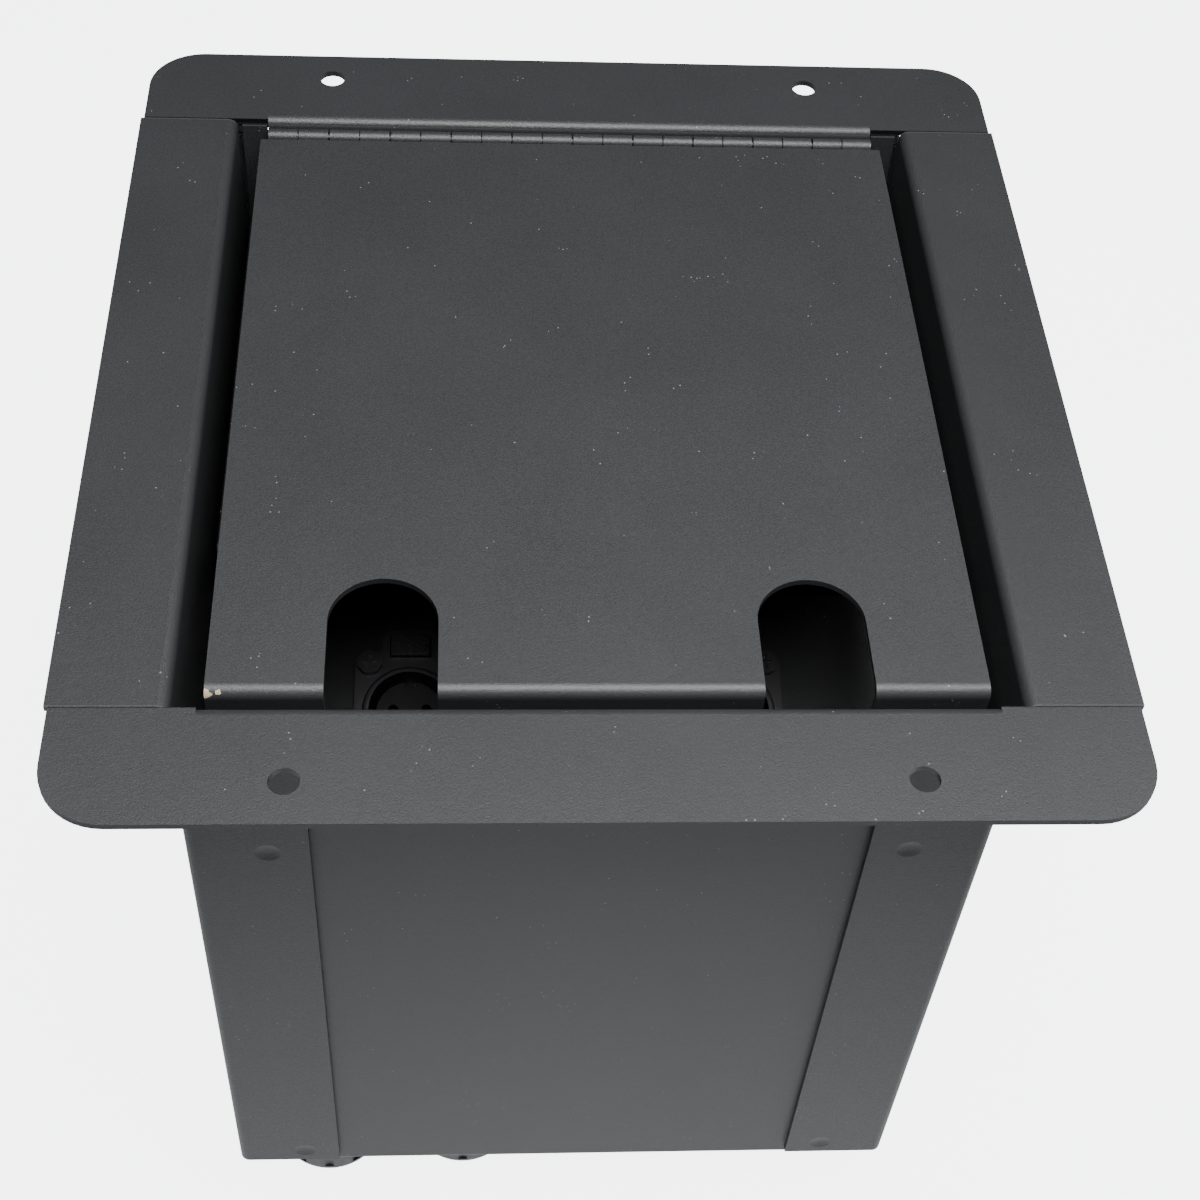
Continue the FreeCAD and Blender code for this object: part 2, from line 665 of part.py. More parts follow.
# ================================================================ panel brackets
for name, way in (("left", "-"), ("right", "")):
    ledge = new_body("panel_bracket_" + name)
    flat = sketch(ledge, "ledge_section_" + name, "front", "-ledge_high")
    outline(flat, [
        (way + "ledge_in", "-sheet_t"),
        (way + "wall_in", "-sheet_t", "bend_out"),
        (way + "wall_in", "-ledge_leg"),
        (way + "(wall_in - sheet_t)", "-ledge_leg"),
        (way + "(wall_in - sheet_t)", "-2*sheet_t", "bend_in"),
        (way + "ledge_in", "-2*sheet_t"),
    ])
    pad(ledge, flat, "ledge_high + ledge_low")
    flat = sketch(ledge, "ledge_holes_" + name, "top", "-2*sheet_t")
    for y in ("-plate_screw_low", "plate_screw_high"):
        disc(flat, way + "plate_screw_x", y, "plate_r + fix_fit")
    pocket(ledge, flat, "4*sheet_t", "both")
    seat(ledge)


# ================================================================ screws and nuts
def screw(tag, x, y, under, end, radius, head_r, head_h):
    """Pan head screw with a cross recess; under is the face it clamps."""
    head = rod(tag + "_head", head_r, head_h, x, y, under)
    shank = rod(tag + "_shank", radius, "(%s) - (%s) + 0.5" % (under, end), x, y, end)
    deep = "%s + (%s) - cross_deep" % (under, head_h)
    one = brick(tag + "_arm_a", "2*cross_l", "cross_w", "2*cross_deep", x, y, deep)
    two = brick(tag + "_arm_b", "cross_w", "2*cross_l", "2*cross_deep", x, y, deep)
    return cut(tag, join(tag + "_blank", [head, shank]), join(tag + "_cross", [one, two]))


def nut(tag, x, y, low, radius, height, bore):
    """Hexagon nut."""
    hole = rod(tag + "_bore", bore, "3*(%s)" % height, x, y, "(%s) - (%s)" % (low, height))
    return cut(tag, hexbar(tag + "_hex", radius, height, x, y, low), hole)


screws, nuts = [], []
for name, x in PLACES:
    for k, (across, along) in enumerate((("-", "-"), ("+", "-"), ("-", ""), ("+", ""))):
        spot = ("%s %s fix_x" % (x, across), along + FIX_Y)
        tag = "face_%s_%d" % (name, k + 1)
        screws.append(screw(tag, *spot, "face_t", "-fix_end", "fix_r", "fix_head_r", "fix_head_h"))
        nuts.append(nut(tag + "_nut", *spot, "-sheet_t - fix_nut_h", "fix_nut_r", "fix_nut_h", "fix_r"))
seat(group("receptacle_screws", screws))
seat(group("receptacle_nuts", nuts))
screws, nuts = [], []
for x in ("-plate_screw_x", "plate_screw_x"):
    for y in ("-plate_screw_low", "plate_screw_high"):
        tag = "plate_%d" % (len(screws) + 1)
        screws.append(screw(tag, x, y, "0", "-8", "plate_r", "plate_head_r", "plate_head_h"))
        nuts.append(nut(tag + "_nut", x, y, "-2*sheet_t - plate_nut_h", "plate_nut_r",
                        "plate_nut_h", "plate_r"))
seat(group("panel_screws", screws))
seat(group("panel_nuts", nuts))

# ================================================================ receptacles
CONTACTS = [("-contact_x", "contact_up"), ("contact_x", "contact_up"), ("0", "-contact_down")]
for name, x in PLACES:
    # die-cast shell: face, rim, tongue round the push tab, barrel, plug mouth
    shell = new_body("receptacle_shell_" + name)
    flat = sketch(shell, "face_" + name, "top")
    outline(flat, [
        ("-fix_x - face_r", "-%s - face_r" % FIX_Y, "face_r"),
        ("fix_x + face_r", "-%s - face_r" % FIX_Y, "face_r"),
        ("fix_x + face_r", FIX_Y + " + face_r", "face_r"),
        ("-fix_x - face_r", FIX_Y + " + face_r", "face_r"),
    ])
    pad(shell, flat, "face_t")
    flat = sketch(shell, "tongue_" + name, "top")
    outline(flat, [
        ("-tongue_x", FIX_Y),
        ("tongue_x", FIX_Y),
        ("tongue_x", "tongue_y", "bend_out"),
        ("-tongue_x", "tongue_y", "bend_out"),
    ])
    pad(shell, flat, "face_t")
    lathe(shell, "rim_" + name, [
        ("0", "face_t + rim_h"),
        ("rim_r", "face_t + rim_h", "bend_in"),
        ("rim_r", "0"),
        ("shell_r", "0"),
        ("shell_r", "-shell_deep"),
        ("0", "-shell_deep"),
    ])
    flat = sketch(shell, "mouth_" + name, "top", "face_t + rim_h")
    disc(flat, "0", "0", "socket_r")
    pocket(shell, flat, "face_t + rim_h + socket_deep")
    flat = sketch(shell, "seat_" + name, "top")
    disc(flat, "0", "0", "insert_r")
    pocket(shell, flat, "shell_deep + 1")
    flat = sketch(shell, "tab_way_" + name, "top", "face_t")
    block(flat, "-tab_x - move_gap", "tab_x + move_gap", "tab_low - move_gap", "tab_high + move_gap")
    pocket(shell, flat, "face_t")
    flat = sketch(shell, "hook_window_" + name, "top", "move_gap - hook_high")
    block(flat, "-hook_x - move_gap", "hook_x + move_gap", "socket_r - 1", "shell_r + 1")
    pocket(shell, flat, "hook_t + tab_travel + 2*move_gap")
    flat = sketch(shell, "face_holes_" + name, "top", "face_t")
    for u in ("-fix_x", "fix_x"):
        for v in ("-" + FIX_Y, FIX_Y):
            disc(flat, u, v, "fix_r + fix_fit")
    pocket(shell, flat, "face_t")
    seat(shell, x)

    # plastic insert with a key groove and three contact ways
    insert = new_body("receptacle_insert_" + name)
    flat = sketch(insert, "insert_round_" + name, "top", "insert_front")
    disc(flat, "0", "0", "insert_r")
    pad(insert, flat, "insert_front + insert_back", "down")
    flat = sketch(insert, "key_groove_" + name, "top", "insert_front")
    block(flat, "-key_w/2", "key_w/2", "insert_r - key_w/2", "insert_r + 1")
    pocket(insert, flat, "socket_deep")
    flat = sketch(insert, "contact_ways_" + name, "top", "insert_front")
    for u, v in CONTACTS:
        disc(flat, u, v, "contact_bore")
    pocket(insert, flat, "insert_front + insert_back + 1")
    flat = sketch(insert, "contact_seats_" + name, "top", "-contact_sunk")
    for u, v in CONTACTS:
        disc(flat, u, v, "contact_r")
    pocket(insert, flat, "insert_back")
    seat(insert, x)

    # three contacts: bored sleeve in front, solder cup behind
    sleeves = []
    for k, (u, v) in enumerate(CONTACTS):
        tag = "contact_%s_%d" % (name, k + 1)
        sleeve = rod(tag + "_sleeve", "contact_r", "insert_back - contact_sunk", u, v, "-insert_back")
        cup = rod(tag + "_cup", "cup_r", "cup_back - insert_back + 1", u, v, "-cup_back")
        bore = rod(tag + "_bore", "contact_bore", "socket_deep + 1", u, v, "-socket_deep")
        well = rod(tag + "_well", "cup_r - 0.4", "cup_back - insert_back", u, v, "-cup_back - 1")
        sleeves.append(cut(tag, join(tag + "_blank", [sleeve, cup]), join(tag + "_holes", [bore, well])))
    seat(group("receptacle_contacts_" + name, sleeves), x)

    # push tab with its latch hook
    tab = new_body("push_tab_" + name)
    flat = sketch(tab, "tab_" + name, "top", "-tab_back")
    block(flat, "-tab_x", "tab_x", "tab_low", "tab_high")
    pad(tab, flat, "tab_back + face_t + tab_up")
    flat = sketch(tab, "hook_" + name, "top", "-hook_high - hook_t")
    block(flat, "-hook_x", "hook_x", "hook_tip", "tab_low + 1")
    pad(tab, flat, "hook_t")
    seat(tab, x)

    # latch spring strip on the barrel, drawn at its pressed height
    spring = new_body("latch_spring_" + name)
    flat = sketch(spring, "spring_" + name, "side")
    LOW = "-tab_back - tab_travel - move_gap"
    outline(flat, [
        ("shell_r", "-shell_deep"),
        ("shell_r + spring_t", "-shell_deep"),
        ("shell_r + spring_t", LOW + " - spring_t"),
        ("tab_high - 1", LOW + " - spring_t"),
        ("tab_high - 1", LOW),
        ("shell_r", LOW),
    ])
    pad(spring, flat, "2*spring_x", "both")
    seat(spring, x)

# ================================================================ cable glands
COLLAR_R = "(thread_r + collar_wall)"
for name, way, y in (("left", "-", "-gland_y"), ("right", "+", "gland_skew - gland_y")):
    x = "-gland_x %s gland_half" % way
    gland = new_body("gland_body_" + name)
    flat = sketch(gland, "gland_hex_" + name, "top", "-collar_h")
    hexagon(flat, "0", "0", COLLAR_R)
    pad(gland, flat, "collar_h")
    lathe(gland, "gland_turned_" + name, [
        ("0", "thread_top"),
        ("thread_r", "thread_top"),
        ("thread_r", "-collar_h/2"),
        ("spigot_r", "-collar_h/2"),
        ("spigot_r", "-spigot_low"),
        ("0", "-spigot_low"),
    ])
    flat = sketch(gland, "gland_way_" + name, "top", "thread_top")
    disc(flat, "0", "0", "cable_r")
    pocket(gland, flat, "thread_top + spigot_low")
    place(gland, x, y, "-box_depth")

    dome = new_body("gland_dome_" + name)
    lathe(dome, "dome_turned_" + name, [
        ("0", "-collar_h"),
        (COLLAR_R, "-collar_h"),
        (COLLAR_R, "-dome_low", "dome_bend"),
        ("0", "-dome_low"),
    ])
    flat = sketch(dome, "flute_" + name, "top", "-collar_h")
    disc(flat, COLLAR_R + " + flute_r - flute_deep", "0", "flute_r")
    flute = pocket(dome, flat, "dome_low - collar_h - dome_bend")
    row = dome.newObject("PartDesign::PolarPattern", "flutes_" + name)
    row.Originals = [flute]
    row.Axis = (flat, ["N_Axis"])
    row.Angle = 360.0
    row.setExpression("Occurrences", full("flute_count"))
    dome.Tip = row
    flat = sketch(dome, "dome_room_" + name, "top", "-collar_h")
    disc(flat, "0", "0", "spigot_r")
    pocket(dome, flat, "dome_low - dome_wall - collar_h")
    flat = sketch(dome, "dome_mouth_" + name, "top", "-dome_low")
    disc(flat, "0", "0", "cable_r")
    pocket(dome, flat, "2*dome_wall", "up")
    place(dome, x, y, "-box_depth")

    seal = new_body("gland_seal_" + name)
    lathe(seal, "seal_" + name, [
        ("cable_r", "-spigot_low"),
        ("spigot_r", "-spigot_low"),
        ("spigot_r", "dome_wall - dome_low"),
        ("cable_r", "dome_wall - dome_low"),
    ])
    place(seal, x, y, "-box_depth")

    ring = new_body("gland_locknut_" + name)
    flat = sketch(ring, "locknut_hex_" + name, "top", "sheet_t")
    hexagon(flat, "0", "0", "thread_r + locknut_wall")
    pad(ring, flat, "locknut_h")
    flat = sketch(ring, "locknut_bore_" + name, "top", "sheet_t + locknut_h")
    disc(flat, "0", "0", "thread_r")
    pocket(ring, flat, "locknut_h")
    place(ring, x, y, "-box_depth")

# ================================================================ check and export
doc.recompute()
for thing in doc.Objects:
    if "Invalid" in thing.State or "Error" in thing.State:
        raise RuntimeError("%s did not build: %s" % (thing.Label, thing.State))
for name, thing in nodes:
    if thing.Shape.isNull() or not thing.Shape.isValid():
        raise RuntimeError(name + " has no valid shape")
    thing.Shape.exportStep("parts/%s.step" % name)
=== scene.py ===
import math

import bmesh
import bpy
from mathutils import Matrix, Vector


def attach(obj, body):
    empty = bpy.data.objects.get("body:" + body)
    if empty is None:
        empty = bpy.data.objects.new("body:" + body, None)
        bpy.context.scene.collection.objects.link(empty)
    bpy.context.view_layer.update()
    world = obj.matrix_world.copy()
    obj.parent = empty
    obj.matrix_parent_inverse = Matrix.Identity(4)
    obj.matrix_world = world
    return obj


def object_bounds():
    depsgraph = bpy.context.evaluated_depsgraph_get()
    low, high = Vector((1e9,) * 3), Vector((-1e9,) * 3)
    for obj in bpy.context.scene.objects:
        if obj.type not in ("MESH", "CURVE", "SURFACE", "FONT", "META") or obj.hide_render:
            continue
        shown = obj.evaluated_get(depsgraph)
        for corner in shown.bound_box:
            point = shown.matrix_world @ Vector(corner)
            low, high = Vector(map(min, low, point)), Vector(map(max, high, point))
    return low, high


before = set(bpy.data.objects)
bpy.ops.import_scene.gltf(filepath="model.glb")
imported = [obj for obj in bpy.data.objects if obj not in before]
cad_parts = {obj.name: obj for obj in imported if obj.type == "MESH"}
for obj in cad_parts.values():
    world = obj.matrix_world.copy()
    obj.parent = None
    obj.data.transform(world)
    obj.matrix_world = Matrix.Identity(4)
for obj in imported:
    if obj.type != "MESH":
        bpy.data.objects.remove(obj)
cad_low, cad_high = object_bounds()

MM = 0.001


def show(thing):
    bpy.context.scene.collection.objects.link(thing)


# ------------------------------------------------------------------ camera
# The photo's camera, worked out from the box's straight edges: degrees, and millimetres.
CAMERA_TURNS = (("Z", -3.158), ("X", 139.939), ("Y", 5.135))
CAMERA_PLACE = (-29.38, -347.36, 332.72)
SENSOR_WIDTH = 36.0
LENS = 61.47
CLIP_START = 0.01

view = Matrix.Identity(3)
for axis, degrees in CAMERA_TURNS:
    view = view @ Matrix.Rotation(math.radians(degrees), 3, axis)
flip = Matrix(((1, 0, 0), (0, -1, 0), (0, 0, -1)))
pose = (flip @ view).transposed().to_4x4()
pose.translation = Vector(CAMERA_PLACE) * MM
camera = bpy.data.objects.new("camera", bpy.data.cameras.new("camera"))
show(camera)
camera.matrix_world = pose
camera.data.sensor_width = SENSOR_WIDTH
camera.data.lens = LENS
camera.data.clip_start = CLIP_START
bpy.context.scene.camera = camera


# ------------------------------------------------------------------ materials
NOISE_LOW, NOISE_HIGH = 0.3, 0.7  # nearly all of a noise texture's values lie between these


class Paint:
    """Node helper for one procedural material, in the object's own coordinates in metres."""

    def __init__(self, name, color, roughness, metallic=0.0, specular=0.5):
        self.material = bpy.data.materials.new(name)
        self.material.use_nodes = True
        self.tree = self.material.node_tree
        self.shader = self.tree.nodes["Principled BSDF"]
        self.shader.inputs["Base Color"].default_value = (*color, 1)
        self.shader.inputs["Roughness"].default_value = roughness
        self.shader.inputs["Metallic"].default_value = metallic
        self.shader.inputs["Specular IOR Level"].default_value = specular
        self.coords = self.node("ShaderNodeTexCoord").outputs["Object"]

    def node(self, kind, **settings):
        """New node; each setting is one of its inputs, or else one of its properties."""
        made = self.tree.nodes.new(kind)
        for key, value in settings.items():
            if key in made.inputs:
                made.inputs[key].default_value = value
            else:
                setattr(made, key, value)
        return made

    def link(self, source, target):
        self.tree.links.new(source, target)

    def feed(self, value, target):
        """Set a number or a colour on a socket, or link an output to it."""
        if isinstance(value, (int, float)):
            target.default_value = value
        elif isinstance(value, tuple):
            target.default_value = (*value, 1)
        else:
            self.link(value, target)

    def noise(self, scale, detail=2.0, roughness=0.5, stretch=None):
        coords = self.coords
        if stretch:
            mapping = self.node("ShaderNodeMapping")
            mapping.inputs["Scale"].default_value = stretch
            self.link(coords, mapping.inputs["Vector"])
            coords = mapping.outputs["Vector"]
        noise = self.node("ShaderNodeTexNoise", Scale=scale, Detail=detail, Roughness=roughness)
        self.link(coords, noise.inputs["Vector"])
        return noise.outputs["Fac"]

    def cells(self, scale):
        """Distance to the nearest point of a scatter of points."""
        cells = self.node("ShaderNodeTexVoronoi", Scale=scale)
        self.link(self.coords, cells.inputs["Vector"])
        return cells.outputs["Distance"]

    def span(self, fac, low, high, to_low, to_high):
        """Carry the range low to high over to to_low to to_high, clamped."""
        span = self.node("ShaderNodeMapRange")
        span.inputs["From Min"].default_value = low
        span.inputs["From Max"].default_value = high
        span.inputs["To Min"].default_value = to_low
        span.inputs["To Max"].default_value = to_high
        self.link(fac, span.inputs["Value"])
        return span.outputs["Result"]

    def spread(self, noise, to_low=0, to_high=1):
        """A noise texture's usual range carried over to to_low to to_high."""
        return self.span(noise, NOISE_LOW, NOISE_HIGH, to_low, to_high)

    def mix(self, fac, one, two):
        mix = self.node("ShaderNodeMix", data_type="RGBA")
        for slot, value in ((0, fac), (6, one), (7, two)):  # factor and the two colour sockets
            self.feed(value, mix.inputs[slot])
        return mix.outputs[2]

    def math(self, operation, one, two=0.0):
        made = self.node("ShaderNodeMath", operation=operation)
        for slot, value in enumerate((one, two)):
            self.feed(value, made.inputs[slot])
        return made.outputs["Value"]

    def distance(self, point):
        """Distance to a point on the object, which is given in metres."""
        gap = self.node("ShaderNodeVectorMath", operation="DISTANCE")
        self.link(self.coords, gap.inputs[0])
        gap.inputs[1].default_value = point
        return gap.outputs["Value"]

    def edge_line(self, edge, width, outside=False):
        """1 on the line |Y| = edge, fading to 0 at width inside or outside it, on the sheet's top."""
        parts = self.node("ShaderNodeSeparateXYZ")
        self.link(self.coords, parts.inputs[0])
        across = self.math("SUBTRACT", edge * MM, self.math("ABSOLUTE", parts.outputs["Y"]))
        if outside:
            across = self.math("MULTIPLY", across, -1.0)
        line = self.span(across, 0, width * MM, 1, 0)
        on_top = self.math("GREATER_THAN", parts.outputs["Z"], LINE_LOW * MM)
        near = self.math("GREATER_THAN", across, -LINE_BEYOND * MM)
        return self.math("MULTIPLY", self.math("MULTIPLY", line, on_top), near)

    def color(self, value):
        self.link(value, self.shader.inputs["Base Color"])

    def rough(self, value):
        self.link(value, self.shader.inputs["Roughness"])

    def bump(self, height, distance, strength, below=None):
        """Relief of a height texture, over the relief below where there is one."""
        bump = self.node("ShaderNodeBump", Strength=strength, Distance=distance)
        self.link(height, bump.inputs["Height"])
        if below:
            self.link(below, bump.inputs["Normal"])
        self.link(bump.outputs["Normal"], self.shader.inputs["Normal"])
        return bump.outputs["Normal"]


# Powder coat. Texture scales are per metre, relief is in metres, the rest is in millimetres.
COAT_DARK = (0.0133, 0.0142, 0.0153)
COAT_LIGHT = (0.0160, 0.0170, 0.0183)
COAT_ROUGHNESS = 0.42
COAT_ROUGHNESS_SPAN = (0.36, 0.50)
COAT_SPECULAR = 0.34
CLOUD_SCALE = 22
FINE_SCALE = 2600
FINE_DARKER = 0.10
FINE_LIGHTER = 0.004
SPECK_SCALE = 620
SPECK_SIZE = (0.08, 0.13)
SPECK_SPREAD_SCALE = 150
SPECK_SHARE = (0.69, 0.71)
SPECK_COLOR = (0.13, 0.135, 0.14)
GRAIN_SCALE = 3000
GRAIN_RELIEF = 0.00007
SOFT_SCALE = 480
SOFT_RELIEF = 0.00004
LINE_WIDTH = 0.35
LINE_LOW = 0.2
LINE_BEYOND = 0.3
# Painted highlight: a lighter line standing in for the light caught by the side strips' end edge.
PAINTED_HIGHLIGHT_COLOR = (0.045, 0.047, 0.05)
# Painted shade: a near-black line standing in for the shadow in the gap beside the side strips.
PAINTED_GAP_SHADE_COLOR = (0.002, 0.002, 0.002)
CHIP_SCALE = 900
CHIP_COLOR = (0.28, 0.235, 0.16)


def powder_coat(name, chips=(), painted_highlight_edge=0.0, painted_gap_shade_edge=0.0, shade=1.0):
    """Near-black powder coat; the edges are |Y| of a painted highlight along a sheet edge and of a
    painted shadow line in the joint beside it, and a shade below 1 darkens colour and gloss as painted
    shade.
    """
    dark = tuple(c * shade for c in COAT_DARK)
    light = tuple(c * shade for c in COAT_LIGHT)
    paint = Paint(name, dark, COAT_ROUGHNESS, specular=COAT_SPECULAR * shade)
    tone = paint.mix(paint.spread(paint.noise(CLOUD_SCALE, 4, 0.6)), dark, light)
    fine = paint.spread(paint.noise(FINE_SCALE, 1, 0.5))
    darker = paint.mix(FINE_DARKER, tone, (0, 0, 0))
    lighter = paint.mix(FINE_LIGHTER, tone, (1, 1, 1))
    tone = paint.mix(fine, darker, lighter)
    speck = paint.span(paint.cells(SPECK_SCALE), *SPECK_SIZE, 1, 0)
    sparse = paint.span(paint.noise(SPECK_SPREAD_SCALE, 0), *SPECK_SHARE, 0, 1)
    tone = paint.mix(paint.math("MULTIPLY", speck, sparse), tone, SPECK_COLOR)
    grain = paint.noise(GRAIN_SCALE, 2, 0.6)
    # Painted highlight along the sheet edge at the given |Y|.
    if painted_highlight_edge:
        tone = paint.mix(paint.edge_line(painted_highlight_edge, LINE_WIDTH), tone, PAINTED_HIGHLIGHT_COLOR)
    # Painted shadow line just outside the given |Y|, where the joint's gap lies.
    if painted_gap_shade_edge:
        tone = paint.mix(paint.edge_line(painted_gap_shade_edge, LINE_WIDTH, outside=True), tone, PAINTED_GAP_SHADE_COLOR)
    for point, radius in chips:
        reach = radius * MM
        gap = paint.distance(Vector(point) * MM)
        ragged = paint.span(paint.noise(CHIP_SCALE, 3, 0.7), 0.2, 0.8, -0.5 * reach, 0.5 * reach)
        bare = paint.span(paint.math("ADD", gap, ragged), reach * 0.95, reach * 1.05, 1, 0)
        tone = paint.mix(bare, tone, CHIP_COLOR)
    paint.color(tone)
    paint.rough(paint.spread(grain, *COAT_ROUGHNESS_SPAN))
    soft = paint.bump(paint.noise(SOFT_SCALE, 2, 0.5), SOFT_RELIEF, 0.6)
    paint.bump(grain, GRAIN_RELIEF, 1.0, soft)
    return paint.material


def cast_black(name, color, roughness, grain=1800, relief=0.00002, specular=0.5):
    """Lacquered die-cast, moulded or rubber surface with a slight grain."""
    paint = Paint(name, color, roughness, specular=specular)
    dark = tuple(c * 0.8 for c in color)
    bright = tuple(c * 1.2 for c in color)
    paint.color(paint.mix(paint.spread(paint.noise(90, 3), 0.85, 1.15), dark, bright))
    fine = paint.noise(grain, 2, 0.6)
    paint.rough(paint.spread(fine, roughness - 0.06, roughness + 0.08))
    paint.bump(fine, relief, 0.8)
    return paint.material


def metal(name, color, roughness, stretch=(1, 1, 1), scale=900):
    """Bare or plated metal; stretch above 1 along an axis packs its lines closer there."""
    paint = Paint(name, color, roughness, metallic=1.0)
    lines = paint.noise(scale, 3, 0.6, stretch)
    dark = tuple(c * 0.75 for c in color)
    paint.color(paint.mix(paint.spread(lines), dark, color))
    paint.rough(paint.spread(lines, roughness - 0.08, roughness + 0.1))
    paint.bump(lines, 0.00001, 0.6)
    return paint.material


SIDE_STRIP_END = 95.9
CHANNEL_STRIP_EDGE = 96.1
LID_CHIPS = (((-80.6, -92.0, 0.2), 1.3), ((-78.0, -91.6, 0.4), 0.7))
HINGE_CHIPS = (((79.4, 91.0, 0.6), 0.6),)

coat = powder_coat("powder_coat")
# The side panels carry a painted highlight along their strips' end edge.
side_coat = powder_coat("side_powder_coat", painted_highlight_edge=SIDE_STRIP_END)
# The channel carries a painted shadow line beside the side strips' ends.
channel_coat = powder_coat("channel_powder_coat", painted_gap_shade_edge=CHANNEL_STRIP_EDGE)
# A copy of the coat at 0.4 of its colour and gloss for the connector panel and its bracket: painted
# shade for parts deep in the box.
painted_shade_coat = powder_coat("painted_shade_powder_coat", shade=0.4)
lid_coat = powder_coat("lid_powder_coat", LID_CHIPS)
hinge_coat = powder_coat("hinge_powder_coat", HINGE_CHIPS)
shell_black = cast_black("shell_black", (0.009, 0.009, 0.010), 0.36, specular=0.30)
tab_black = cast_black("tab_black", (0.011, 0.011, 0.012), 0.24, specular=0.35)
insert_plastic = cast_black("insert_plastic", (0.003, 0.003, 0.0033), 0.60, 1200, specular=0.12)
nylon = cast_black("gland_nylon", (0.022, 0.022, 0.024), 0.42, 700, 0.00003)
rubber = cast_black("seal_rubber", (0.014, 0.014, 0.014), 0.7, 1500, 0.00004)
brass = metal("contact_brass", (0.75, 0.58, 0.30), 0.3, (1, 1, 8))
spring_steel = metal("spring_steel", (0.62, 0.62, 0.64), 0.28, (1, 8, 1))
screw_black = metal("screw_black", (0.050, 0.050, 0.053), 0.36, scale=2500)
zinc = metal("zinc_plate", (0.66, 0.66, 0.68), 0.35, scale=700)

# The first start of a node's name that fits gives its material.
FINISH = (
    ("lid_panel", lid_coat),
    ("hinge_leaf", hinge_coat),
    ("hinge_pin", hinge_coat),
    ("channel", channel_coat),
    ("side_panel", side_coat),
    ("lid_stop", coat),
    ("connector_panel", painted_shade_coat),
    ("panel_bracket", painted_shade_coat),
    ("receptacle_shell", shell_black),
    ("receptacle_insert", insert_plastic),
    ("receptacle_contacts", brass),
    ("receptacle_screws", screw_black),
    ("panel_screws", screw_black),
    ("receptacle_nuts", zinc),
    ("panel_nuts", zinc),
    ("push_tab", tab_black),
    ("latch_spring", spring_steel),
    ("gland_seal", rubber),
    ("gland", nylon),
)
for name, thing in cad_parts.items():
    for start, material in FINISH:
        if name.startswith(start):
            for slot in thing.material_slots:
                slot.material = material
            break


# ------------------------------------------------------------------ corner welds
# Millimetres. A bead stands in each slot between a wall's ear and a side panel, and one runs
# under the strip from the wall's bend to the slot.
BEAD_AROUND = 16
BEAD_RIPPLE = 0.6
BEAD_SWELL = 0.07
WALL_END = 86.85
WALL_OUT = 98.0
POST_Z = (-4.0, -0.2)
POST_RADIUS = 1.15
RUN_Z = -1.35
RUN_RADIUS = 1.1
RUN_PAST_BEND = 0.6
RUN_PAST_WALL = 0.5


def weld_bead(name, start, end, radius):
    """Rippled bead from start to end with rounded ends, which rides on the box."""
    start, end = Vector(start), Vector(end)
    way = end - start
    side = way.orthogonal().normalized()
    other = way.normalized().cross(side)
    rings = max(8, int(way.length / BEAD_RIPPLE) * 4)
    mesh = bmesh.new()
    loops = []
    for i in range(rings + 1):
        t = i / rings
        taper = math.sqrt(max(0.0, 1 - (2 * t - 1) ** 8)) * 0.9 + 0.1
        swell = 1 + BEAD_SWELL * math.cos(2 * math.pi * t * way.length / BEAD_RIPPLE)
        loop = []
        for k in range(BEAD_AROUND):
            a = 2 * math.pi * k / BEAD_AROUND
            out = side * math.cos(a) + other * math.sin(a)
            loop.append(mesh.verts.new((start + way * t + out * radius * taper * swell) * MM))
        loops.append(loop)
    for one, two in zip(loops, loops[1:]):
        for k in range(BEAD_AROUND):
            n = (k + 1) % BEAD_AROUND
            mesh.faces.new((one[k], one[n], two[n], two[k]))
    mesh.faces.new(list(reversed(loops[0])))
    mesh.faces.new(loops[-1])
    bmesh.ops.recalc_face_normals(mesh, faces=mesh.faces)
    for face in mesh.faces:
        face.smooth = True
    data = bpy.data.meshes.new(name)
    mesh.to_mesh(data)
    mesh.free()
    data.materials.append(coat)
    bead = bpy.data.objects.new(name, data)
    show(bead)
    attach(bead, "box")


for end, way, bend in (("front", -1, 82.0), ("back", 1, 79.5)):
    for side, across in (("left", -1), ("right", 1)):
        name = "corner_weld_%s_%s" % (end, side)
        x, y = across * WALL_END, way * WALL_OUT
        weld_bead(name + "_post", (x, y, POST_Z[0]), (x, y, POST_Z[1]), POST_RADIUS)
        inner, outer = across * (bend - RUN_PAST_BEND), across * (WALL_END + RUN_PAST_WALL)
        weld_bead(name + "_run", (inner, y, RUN_Z), (outer, y, RUN_Z), RUN_RADIUS)


# ------------------------------------------------------------------ floor and backdrop
# The photo's background is pure white. The floor and backdrop look that bright only to the camera,
# so that what they throw on the dark walls stays at the photo's level. Metres.
SEEN_GLOW = 5.0
FLOOR_BOUNCE = 1.15
BOUNCE_SPAN = (0.10, 0.32)
FLOOR_REACH = 6.0
FLOOR_GAP = 0.0002
FLOOR_COLOR = (0.33, 0.34, 0.35)
FLOOR_DARK = (0.32, 0.33, 0.345)
FLOOR_LIGHT = (0.34, 0.35, 0.365)
FLOOR_GLOW_COLOR = (0.97, 0.985, 1.0)
BACKDROP_COLOR = (0.96, 0.98, 1.0)
BACKDROP_LIGHT = 0.05

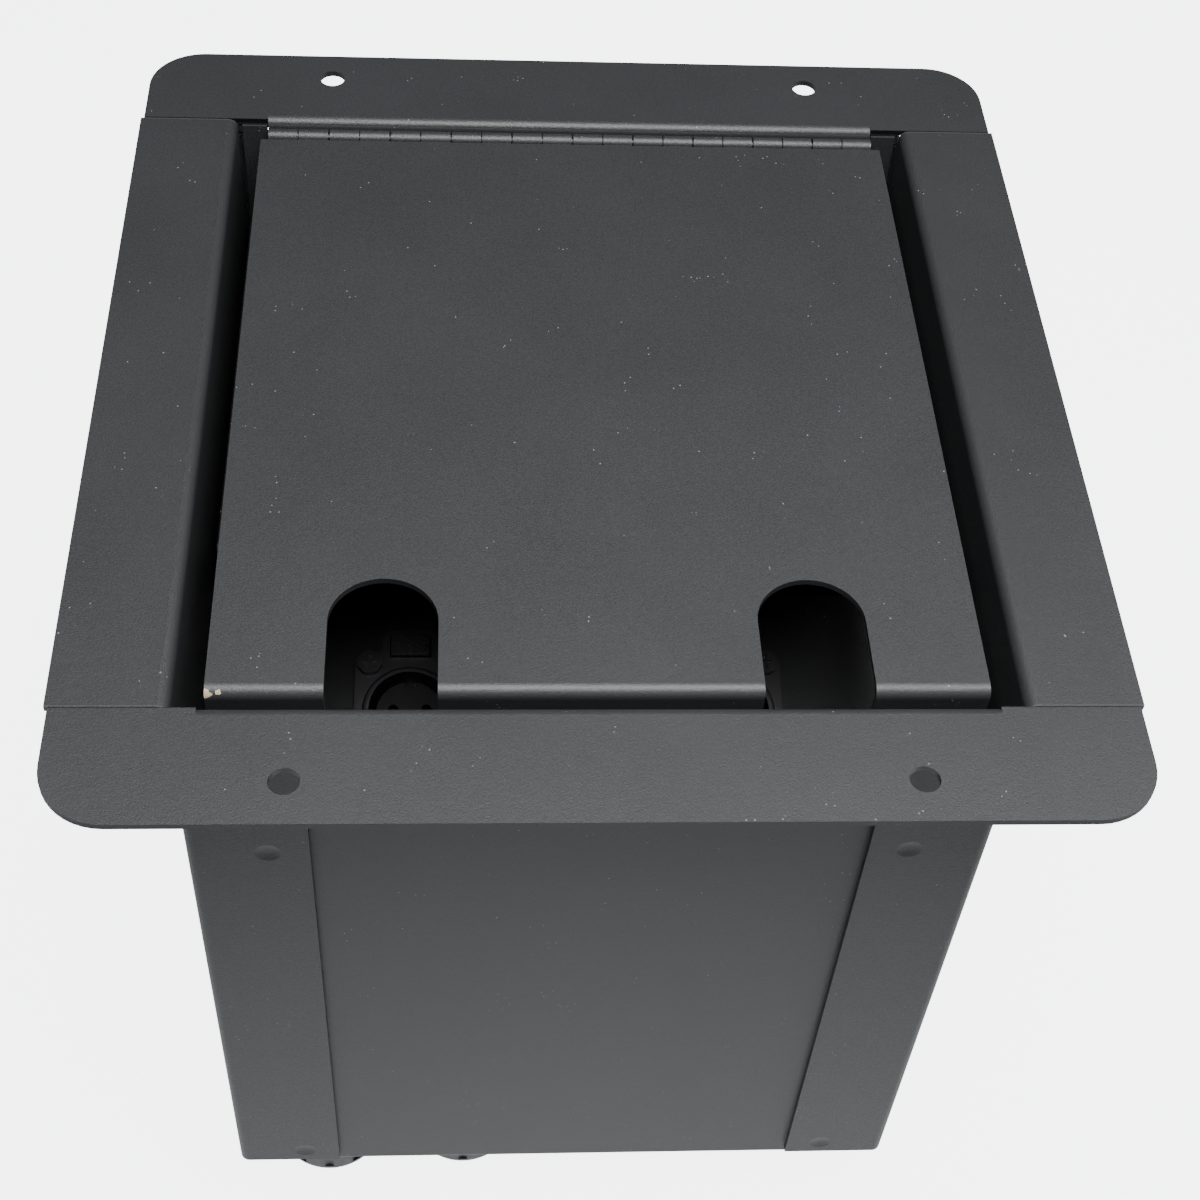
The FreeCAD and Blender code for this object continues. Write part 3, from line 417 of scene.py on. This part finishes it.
level = cad_low[2] - FLOOR_GAP
corners = [(x * FLOOR_REACH, y * FLOOR_REACH, level) for x, y in ((-1, -1), (1, -1), (1, 1), (-1, 1))]
floor_mesh = bpy.data.meshes.new("floor")
floor_mesh.from_pydata(corners, [], [(0, 1, 2, 3)])
floor = bpy.data.objects.new("floor", floor_mesh)
show(floor)
white = Paint("floor_white", FLOOR_COLOR, 0.8, specular=0.2)
white.color(white.mix(white.spread(white.noise(3, 2)), FLOOR_DARK, FLOOR_LIGHT))
white.shader.inputs["Emission Color"].default_value = (*FLOOR_GLOW_COLOR, 1)
seen = white.node("ShaderNodeLightPath").outputs["Is Camera Ray"]
# Within 0.10 m of the point under the box's centre the floor glows at FLOOR_BOUNCE for all rays, fading
# out by 0.32 m: a glow that stands in for light bounced onto the box's walls.
bounce = white.span(white.distance((0, 0, level)), *BOUNCE_SPAN, FLOOR_BOUNCE, 0)
glow = white.math("MAXIMUM", bounce, white.math("MULTIPLY", seen, SEEN_GLOW))
white.link(glow, white.shader.inputs["Emission Strength"])
floor_mesh.materials.append(white.material)

world = bpy.data.worlds.new("studio")
world.use_nodes = True
tree = world.node_tree
backdrop = tree.nodes["Background"]
backdrop.inputs["Color"].default_value = (*BACKDROP_COLOR, 1)
brightness = tree.nodes.new("ShaderNodeMapRange")
brightness.inputs["To Min"].default_value = BACKDROP_LIGHT
brightness.inputs["To Max"].default_value = SEEN_GLOW
from_camera = tree.nodes.new("ShaderNodeLightPath").outputs["Is Camera Ray"]
tree.links.new(from_camera, brightness.inputs["Value"])
tree.links.new(brightness.outputs["Result"], backdrop.inputs["Strength"])
bpy.context.scene.world = world


# ------------------------------------------------------------------ light
LIGHT_AIM = (0, 0, -0.08)


def soft_light(name, size, power, azimuth, elevation, distance):
    """Square light on a ball round LIGHT_AIM: metres, watts and degrees, azimuth 0 in front."""
    light = bpy.data.lights.new(name, "AREA")
    light.size = size
    light.energy = power
    lamp = bpy.data.objects.new(name, light)
    a, e = math.radians(azimuth), math.radians(elevation)
    way = Vector((math.sin(a) * math.cos(e), -math.cos(a) * math.cos(e), math.sin(e)))
    lamp.location = Vector(LIGHT_AIM) + way * distance
    lamp.rotation_euler = way.to_track_quat("Z", "Y").to_euler()
    show(lamp)


soft_light("overhead", 0.6, 21.5, 10, 76, 0.8)
soft_light("right", 0.6, 5.0, 90, 45, 0.9)
soft_light("front", 0.18, 0.9, 4, 28, 1.1)
